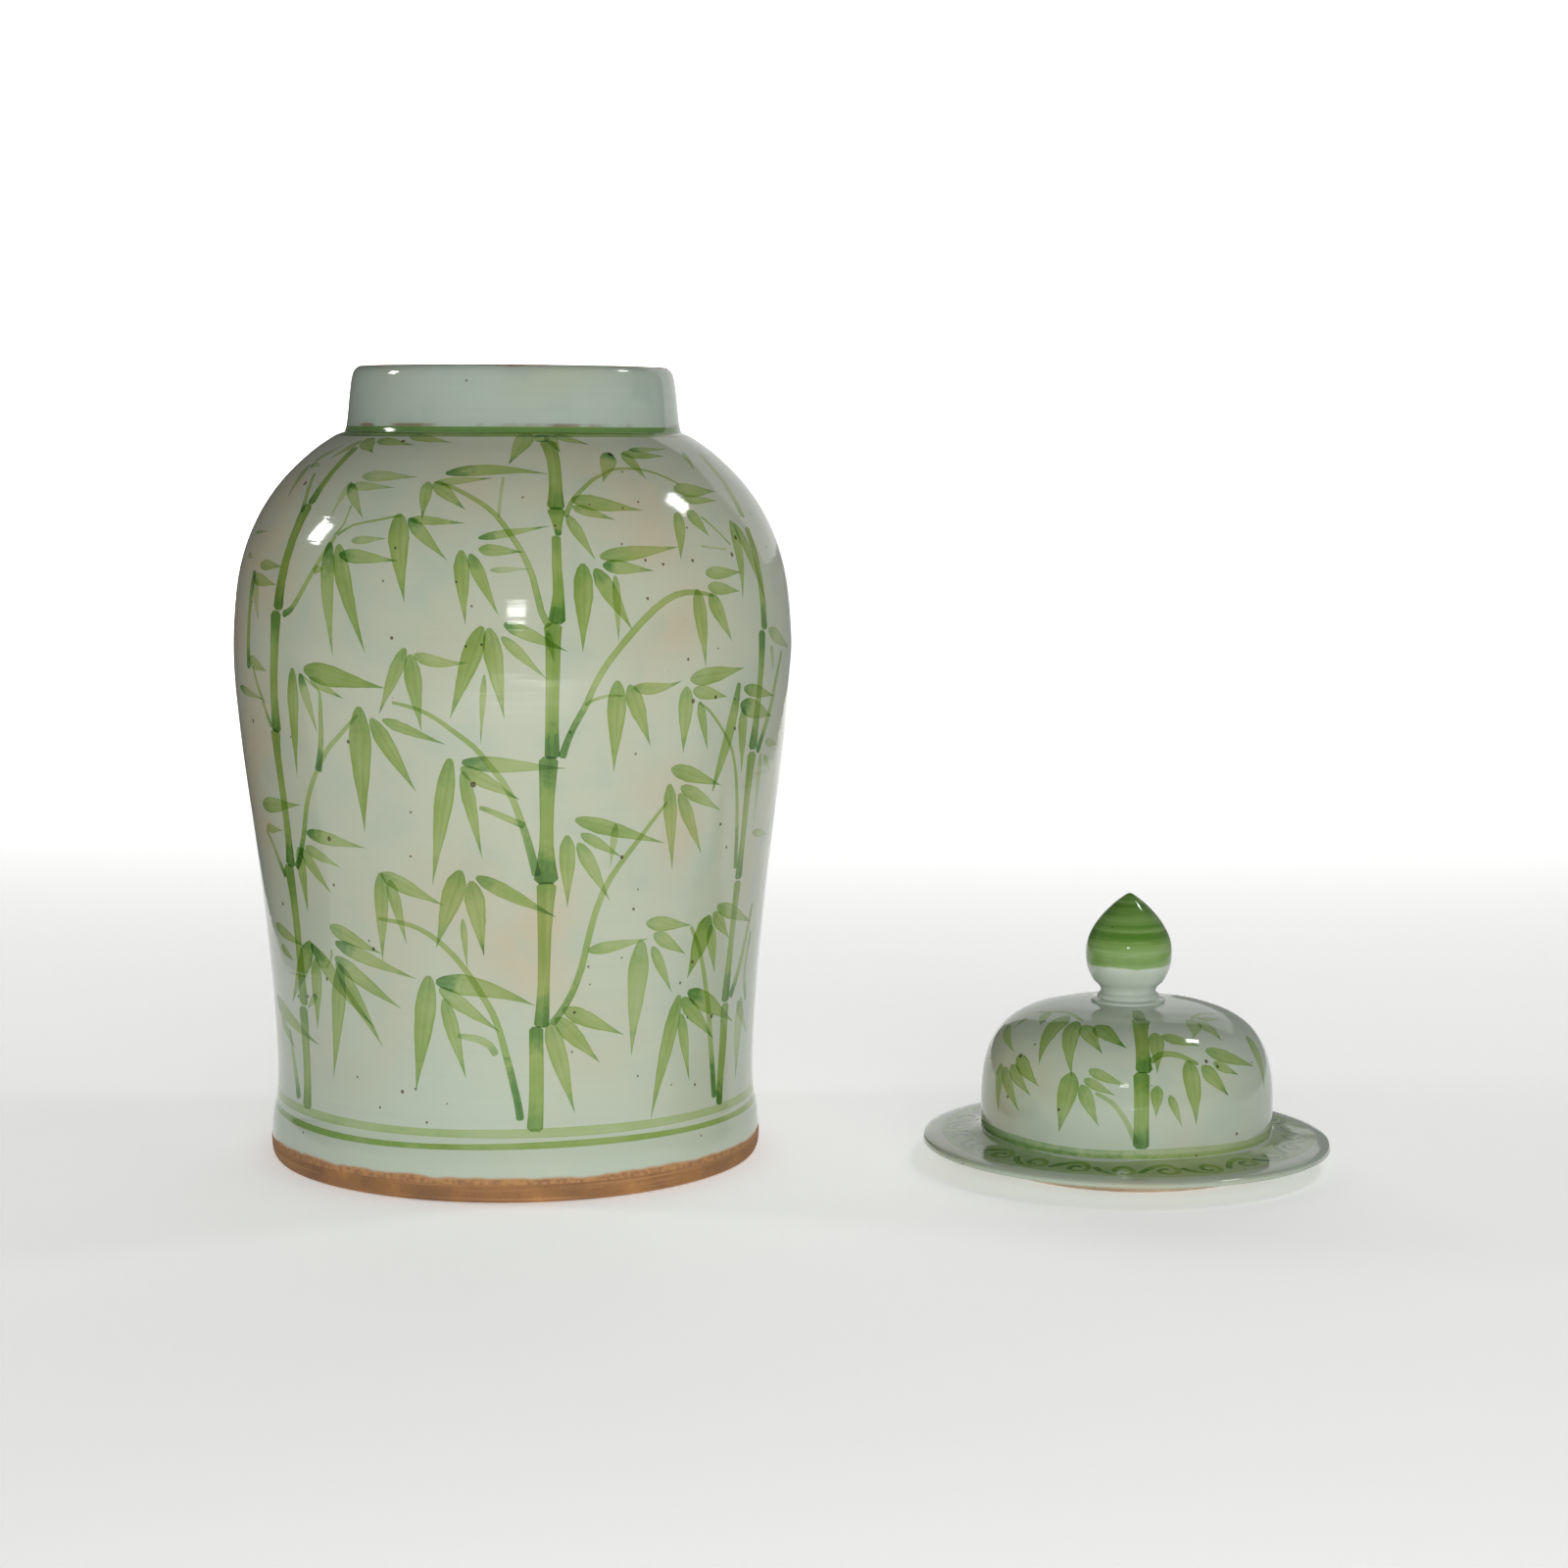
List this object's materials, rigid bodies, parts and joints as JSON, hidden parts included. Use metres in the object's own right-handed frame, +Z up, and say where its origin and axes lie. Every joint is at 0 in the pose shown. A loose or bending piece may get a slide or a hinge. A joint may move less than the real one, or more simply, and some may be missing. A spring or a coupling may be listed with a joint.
{
  "type": "ginger jar",
  "caption": "Baluster porcelain storage jar with a short round neck, and its hat-shaped lid with a wide flat brim, bud finial and locating ring, standing beside it.",
  "frame": {"origin": "centre of the jar's flat base, on the surface that the jar and the lid stand on", "axes": "+Z up along the jar's axis, +X towards the side where the lid stands, +Y to the back"},
  "size_m": [0.5263, 0.266, 0.377],
  "materials": {
    "painted_celadon_glaze": "clear pale celadon glaze over green brush painting, glossy",
    "plain_celadon_glaze": "clear pale celadon glaze, glossy",
    "green_painted_glaze": "green wash under clear glaze, glossy",
    "bare_fired_clay": "unglazed, fired to a rust brown, matt and rough"
  },
  "bodies": {
    "jar": {"jar_base": "bare_fired_clay", "jar_lower_body": "painted_celadon_glaze", "jar_upper_body": "painted_celadon_glaze", "jar_neck": "plain_celadon_glaze"},
    "lid": {"lid_locating_ring": "bare_fired_clay", "lid_brim": "painted_celadon_glaze", "lid_dome": "painted_celadon_glaze", "lid_finial": "green_painted_glaze"}
  },
  "joints": [
    {"name": "lid_lift", "type": "slide", "parent": "jar", "child": "lid", "axis": [0, 0, 1], "range_m": [0, 0.4]}
  ]
}
